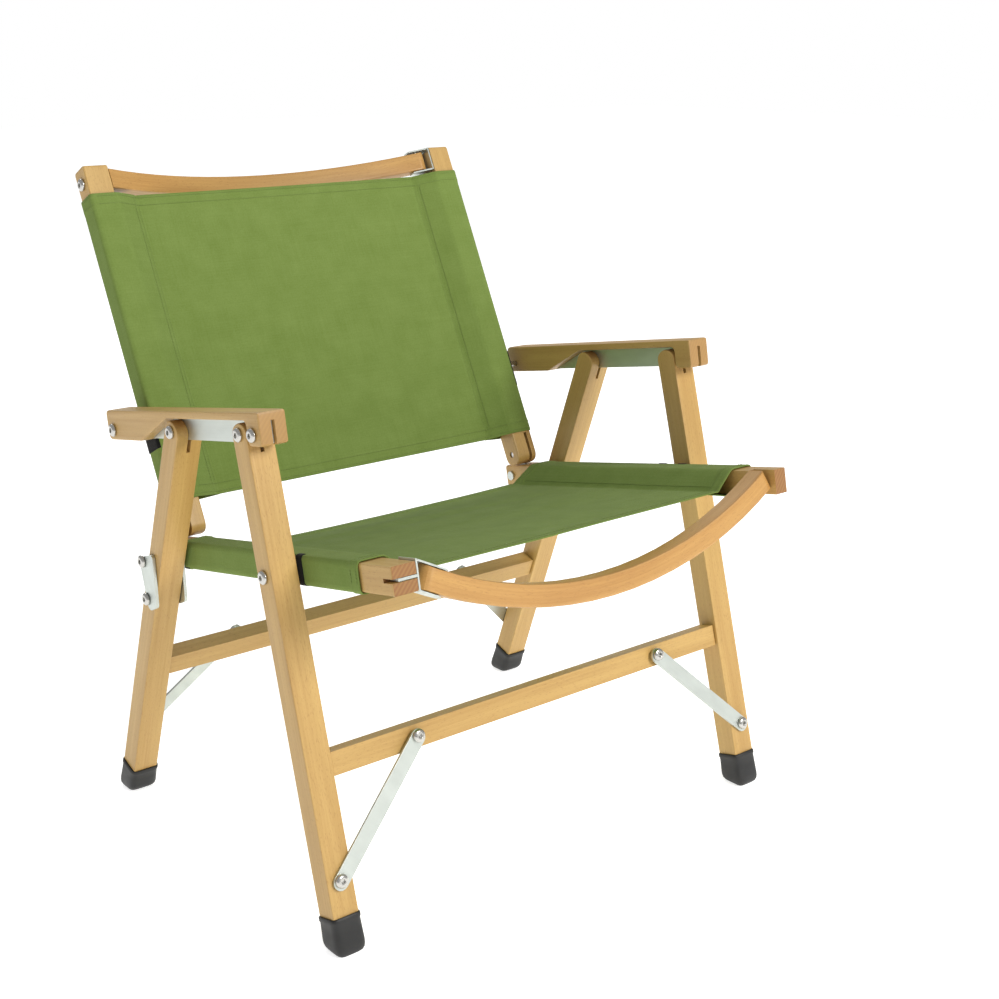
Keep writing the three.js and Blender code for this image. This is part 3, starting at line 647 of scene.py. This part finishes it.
class Sling:
    """A sheet stretched between two bars, with a sleeve round each.

    Its points are given as (path length, distance along the bars). The path runs in the plane
    across the bars, from under one sleeve over the sheet to under the other.
    """

    def __init__(self, origin, along, up, inner, outer, hem, level, wrinkle, seed):
        self.origin, self.along, self.up = origin, along, up
        self.inner, self.outer, self.hem = inner, outer, hem
        self.wrinkle, self.seed = wrinkle, seed
        self.fit = lambda point, a: a  # moves end lines of the cloth that aren't square to the bars
        gap = SLEEVE_GAP + CLOTH_T / 2
        seam, out, face = inner - hem, outer + gap, BAR_HALF + gap
        turn = [Vector(corner) for corner in (
            (seam - 2 * MM, level - 1.6 * MM), (inner - gap, -face), (out, -face),
            (out, face), (inner - 1 * MM, face), (seam, level),
        )]
        right = rounded(turn, CORNER, CLOTH_GRID)
        left = [Vector((-p.x, p.y)) for p in reversed(right)]
        count = round(2 * seam / CLOTH_GRID)
        sheet = [Vector((seam - 2 * seam * i / count, level)) for i in range(1, count)]
        self.path = right + sheet + left
        self.seam = seam
        lengths = [0.0]
        for a, b in zip(self.path, self.path[1:]):
            lengths.append(lengths[-1] + (b - a).length)
        self.lengths = np.array(lengths)
        self.length = lengths[-1]

    def at(self, s):
        """The path's point and its outward normal at a path length."""
        i = int(np.clip(np.searchsorted(self.lengths, s) - 1, 0, len(self.path) - 2))
        span = self.lengths[i + 1] - self.lengths[i]
        t = (s - self.lengths[i]) / span
        point = self.path[i].lerp(self.path[i + 1], t)
        run = self.path[min(i + 2, len(self.path) - 1)] - self.path[max(i - 1, 0)]
        run.normalize()
        return point, Vector((run.y, -run.x))

    def relief(self, x, a, on_top):
        """How far the stretched part stands out or in: crown, pull folds, and the dent at the seams."""
        if not on_top:
            return 0.0
        share = max(0.0, 1 - (abs(x) / self.inner) ** 4)
        crown = -1.2 * MM * (1 - (x / self.inner) ** 2)
        folds = self.wrinkle(x, a, self.seed) * share
        dent = -0.7 * MM * math.exp(-((abs(x) - self.seam) / (2.2 * MM)) ** 2)
        return crown * share + folds + dent

    def place(self, s, a, lift=0.0):
        point, normal = self.at(s)
        a = self.fit(point, a)
        on_sheet = self.top_from < s < self.length - self.top_from
        on_top = on_sheet and abs(point.x) < self.inner
        rise = self.relief(point.x, a, on_top) + lift
        point = point + normal * rise
        return self.origin + X * point.x + self.up * point.y + self.along * a

    @property
    def top_from(self):
        """Path length at which the cloth leaves the bar's top for the sheet."""
        return self.hem * 1.02 + (self.outer - self.inner) * 2

    def patch(self, s_values, a_values, lift=0.0, keep=lambda s, a: True):
        """A grid of the sling's surface. Returns points, faces and UVs in metres."""
        points, uvs, faces = [], [], []
        for s in s_values:
            for a in a_values:
                points.append(self.place(s, a, lift(s, a) if callable(lift) else lift))
                uvs.append((s, a))
        rows = len(a_values)
        for i in range(len(s_values) - 1):
            for j in range(rows - 1):
                s = (s_values[i] + s_values[i + 1]) / 2
                a = (a_values[j] + a_values[j + 1]) / 2
                if keep(s, a):
                    k = i * rows + j
                    faces.append((k, k + 1, k + rows + 1, k + rows))
        used = sorted({v for face in faces for v in face})
        index = {v: i for i, v in enumerate(used)}
        faces = [tuple(index[v] for v in face) for face in faces]
        return [points[v] for v in used], faces, [uvs[v] for v in used]

    def path_at_x(self, x):
        """Path length where the cloth's top crosses an x."""
        margin = self.top_from * 0.6
        top = [(abs(p.x - x), s) for s, p in zip(self.lengths, self.path)
               if margin < s < self.length - margin]
        return min(top)[1]

    def outer_walls(self):
        """The first and last path length over each bar's outer wall, with 1 mm more at both ends."""
        spans = []
        for side in (1, -1):
            wall = [s for s, p in zip(self.lengths, self.path) if p.x * side > self.outer]
            spans.append((min(wall) - 1 * MM, max(wall) + 1 * MM))
        return spans


def seat_folds(x, a, seed):
    """Soft folds that run across the seat, a little slanted, as the sitter's weight has left them."""
    slant = a + 0.16 * x
    long_folds = noise.noise(Vector((x * 2.2, slant * 26, seed)))
    fine_folds = noise.noise(Vector((x * 7, slant * 60, seed + 7)))
    return 1.7 * MM * long_folds + 0.45 * MM * fine_folds


def back_folds(x, a, seed):
    """The back is tighter: only faint, broad folds."""
    broad = noise.noise(Vector((x * 3.5, a * 9, seed)))
    pull = noise.noise(Vector((x * 5, (a - 0.5 * x) * 22, seed + 3)))
    return 1.0 * MM * broad + 0.35 * MM * pull


def edges(low, high, step, marks=()):
    """Grid lines from low to high about a step apart, with exact lines at the marks."""
    stops = sorted({low, high, *[m for m in marks if low < m < high]})
    values = []
    for a, b in zip(stops, stops[1:]):
        count = max(1, round((b - a) / step))
        values += [a + (b - a) * i / count for i in range(count)]
    return values + [high]


def thicken(piece, thickness):
    solid = piece.modifiers.new("thickness", "SOLIDIFY")
    solid.thickness = thickness
    solid.offset = 0
    solid.use_rim = True
    soft = piece.modifiers.new("soft_edge", "BEVEL")
    soft.width = 0.2 * thickness
    soft.segments = 1
    soft.limit_method = "ANGLE"
    soft.angle_limit = math.radians(50)


def hem_lift(low, high, rise):
    """The folded hems at both ends of a sling stand out from the rest of it."""
    def lift(s, a):
        from_end = min(a - low, high - a)
        return rise * (0.5 - 0.5 * math.tanh((from_end - HEM_WIDE) / (0.8 * MM)))
    return lift


STITCH = 3.2 * MM
THREAD_R = 0.32 * MM
THREAD_SIDES = 5
THREAD_RINGS = [(0.0, 0.25), (0.15, 0.85), (0.5, 1.0), (0.85, 0.85), (1.0, 0.25)]  # share, girth


def add_stitches(name, rows, material, body):
    """Rows of lock stitches with gaps between them: each row is a list of points on the cloth."""
    points, faces = [], []
    for row in rows:
        for a, b in zip(row, row[1:]):
            run = b - a
            count = max(1, round(run.length / STITCH))
            for i in range(count):
                start = a.lerp(b, (i + 0.12) / count)
                end = a.lerp(b, (i + 0.88) / count)
                add_thread(points, faces, start, end)
    return add_mesh(name, points, faces, material, body)


def add_thread(points, faces, start, end):
    """One stitch: a short rounded thread."""
    run = (end - start).normalized()
    side = run.orthogonal().normalized()
    other = run.cross(side)
    first = len(points)
    for share, girth in THREAD_RINGS:
        centre = start.lerp(end, share)
        for i in range(THREAD_SIDES):
            a = 2 * math.pi * i / THREAD_SIDES
            points.append(centre + (side * math.cos(a) + other * math.sin(a)) * THREAD_R * girth)
    faces += tube_faces(first, THREAD_SIDES, len(THREAD_RINGS))


def seam_rows(sling, low, high):
    """Stitch rows along both sleeve seams, between two lines across the bars."""
    a_values = edges(low + 2 * MM, high - 2 * MM, 12 * MM)
    rows = []
    for side in (-1, 1):
        for offset in SEAM_STITCHES:
            s = sling.path_at_x(side * (sling.seam + offset))
            rows.append([sling.place(s, a, ON_CLOTH) for a in a_values])
    return rows


def hem_rows(sling, ends, share, lift):
    """Stitch rows along the hems, over the top of the sling or a wider or narrower share of it."""
    margin = sling.top_from * share
    s_values = edges(margin, sling.length - margin, 6 * MM)
    return [[sling.place(s, a, lift(s, a) + ON_CLOTH) for s in s_values] for a in ends]


def add_seat(canvas, black, thread):
    rail_low, rail_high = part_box("right_seat_rail")
    sling = Sling(SEAT_AT, RAIL_DIR, RAIL_UP, rail_low.x, rail_high.x, hem=23 * MM,
                  level=-5.5 * MM, wrinkle=seat_folds, seed=1.3)
    front, rear = SEAT_FRONT, SEAT_REAR
    cut = (-4.5 * MM, 15 * MM)  # the room round the leg's bolt in each sleeve's outer wall

    def rear_cut(point):
        """The cloth's rear end: nearly square on a bar's outer wall, and slanted on its inner side."""
        share = min(1.0, max(0.0, (abs(point.x) - sling.inner) / (sling.outer - sling.inner)))
        below_top = BAR_HALF - max(-BAR_HALF, min(BAR_HALF, point.y))
        outer_end = 205 * MM + 0.15 * below_top
        inner_end = 207 * MM + 0.5 * below_top
        return share * outer_end + (1 - share) * inner_end

    def fit(point, a):
        if a < KNEE:
            return a
        return KNEE + (a - KNEE) * (rear_cut(point) - KNEE) / (rear - KNEE)

    sling.fit = fit
    walls = sling.outer_walls()

    def keep(s, a):
        on_wall = any(low < s < high for low, high in walls)
        return not (on_wall and cut[0] < a < cut[1])

    hem = hem_lift(front, rear, 0.7 * MM)
    s_values = edges(0, sling.length, CLOTH_GRID, [s for wall in walls for s in wall])
    a_values = edges(front, rear, CLOTH_GRID, cut)
    points, faces, uvs = sling.patch(s_values, a_values, hem, keep)
    piece = add_mesh("seat_canvas", points, faces, canvas, "seat", uvs)
    thicken(piece, CLOTH_T)
    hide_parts("seat_fabric")

    wide, past = 9 * MM, 0.4 * MM  # the binding's width beside the room, and past the cloth's edge
    bands = (
        (cut[0] - wide, cut[0] + past), (cut[1] - past, cut[1] + wide), (rear - 10 * MM, rear + past),
    )
    bindings = []
    for low, high in walls:
        s_grid = edges(low - 3 * MM, high + 3 * MM, TAPE_GRID)
        bindings += [sling.patch(s_grid, edges(*band, TAPE_GRID), ON_CLOTH) for band in bands]
    tape = add_joined("seat_binding", bindings, black, "seat")
    thicken(tape, TAPE_T)

    rows = seam_rows(sling, front, rear)
    rows += hem_rows(sling, (front + 3 * MM, front + 11 * MM), 0.8, hem)
    rows += hem_rows(sling, (rear - 3 * MM, rear - 11 * MM), 1.3, hem)
    threads = add_stitches("seat_stitching", rows, thread, "seat")


def add_joined(name, patches, material, body):
    points, faces, uvs = [], [], []
    for p, f, uv in patches:
        first = len(points)
        points += p
        uvs += uv
        faces += [tuple(first + v for v in face) for face in f]
    return add_mesh(name, points, faces, material, body, uvs)


def add_back(canvas, black, thread):
    post_low, post_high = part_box("right_back_post")
    sling = Sling(POST_AT, POST_DIR, POST_FRONT, post_low.x, post_high.x, hem=27 * MM,
                  level=0.0, wrinkle=back_folds, seed=4.1)
    bottom, top = BACK_BOTTOM, BACK_TOP
    hem = hem_lift(bottom, top, 0.35 * MM)
    s_values = edges(0, sling.length, CLOTH_GRID)
    points, faces, uvs = sling.patch(s_values, edges(bottom, top, CLOTH_GRID), hem)
    piece = add_mesh("back_canvas", points, faces, canvas, "backrest", uvs)
    thicken(piece, CLOTH_T)
    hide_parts("back_fabric")

    bolt_low, bolt_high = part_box("left_armrest_rear_bolt")
    bolt_at = (bolt_low + bolt_high) / 2 - POST_AT
    along = bolt_at.dot(POST_DIR)
    patch_a = edges(along - 26 * MM, along + 14 * MM, TAPE_GRID)
    patches = [sling.patch(edges(low, high, TAPE_GRID), patch_a, ON_CLOTH)
               for low, high in sling.outer_walls()]
    tape = add_joined("back_bolt_patches", patches, black, "backrest")
    thicken(tape, TAPE_T)

    rows = seam_rows(sling, bottom, top)
    ends = (top - 3 * MM, top - 11 * MM, bottom + 3 * MM, bottom + 11 * MM)
    rows += hem_rows(sling, ends, 0.8, hem)
    threads = add_stitches("back_stitching", rows, thread, "backrest")


# ---------------------------------------------------------------- floor
def add_floor():
    n = Nodes("studio_floor")
    speck = n.noise(n.object_point, scale=6, detail=3)
    n.link(n.mix(speck, (0.86, 0.86, 0.86), (0.9, 0.9, 0.9)), n.shader.inputs["Base Color"])
    n.set(Roughness=0.9, Specular_IOR_Level=0.1, Emission_Color=(1, 1, 1, 1), Emission_Strength=0.72)
    data = bpy.data.meshes.new("studio_floor")
    size = 12
    corners = [(-size, -size, 0), (size, -size, 0), (size, size, 0), (-size, size, 0)]
    data.from_pydata(corners, [], [(0, 1, 2, 3)])
    data.materials.append(n.material)
    floor = bpy.data.objects.new("studio_floor", data)
    floor.location.z = -0.0003
    bpy.context.scene.collection.objects.link(floor)


# ---------------------------------------------------------------- the chair
add_camera()
add_world(0.46)
add_light("key", (0.7, -2.7, 2.0), (0, 0, 0.3), 1.3, 72, (1.0, 0.985, 0.96))
add_light("rim", (0.6, 2.6, 2.4), (0, 0, 0.3), 1.8, 24)
add_floor()
bpy.context.scene.view_settings.view_transform = "Standard"

finish_frame()
add_bolts()
add_feet()
canvas_cloth = cloth("canvas_green", CANVAS_GREEN, CANVAS_DEEP, YARN)
black_cloth = cloth("binding_black", BINDING_BLACK, BINDING_DEEP, 1.2 * MM, sheen=0.1)
thread_cloth = cloth("thread_green", THREAD_GREEN, THREAD_DEEP, 0.4 * MM, 0.00005)
add_seat(canvas_cloth, black_cloth, thread_cloth)
add_back(canvas_cloth, black_cloth, thread_cloth)
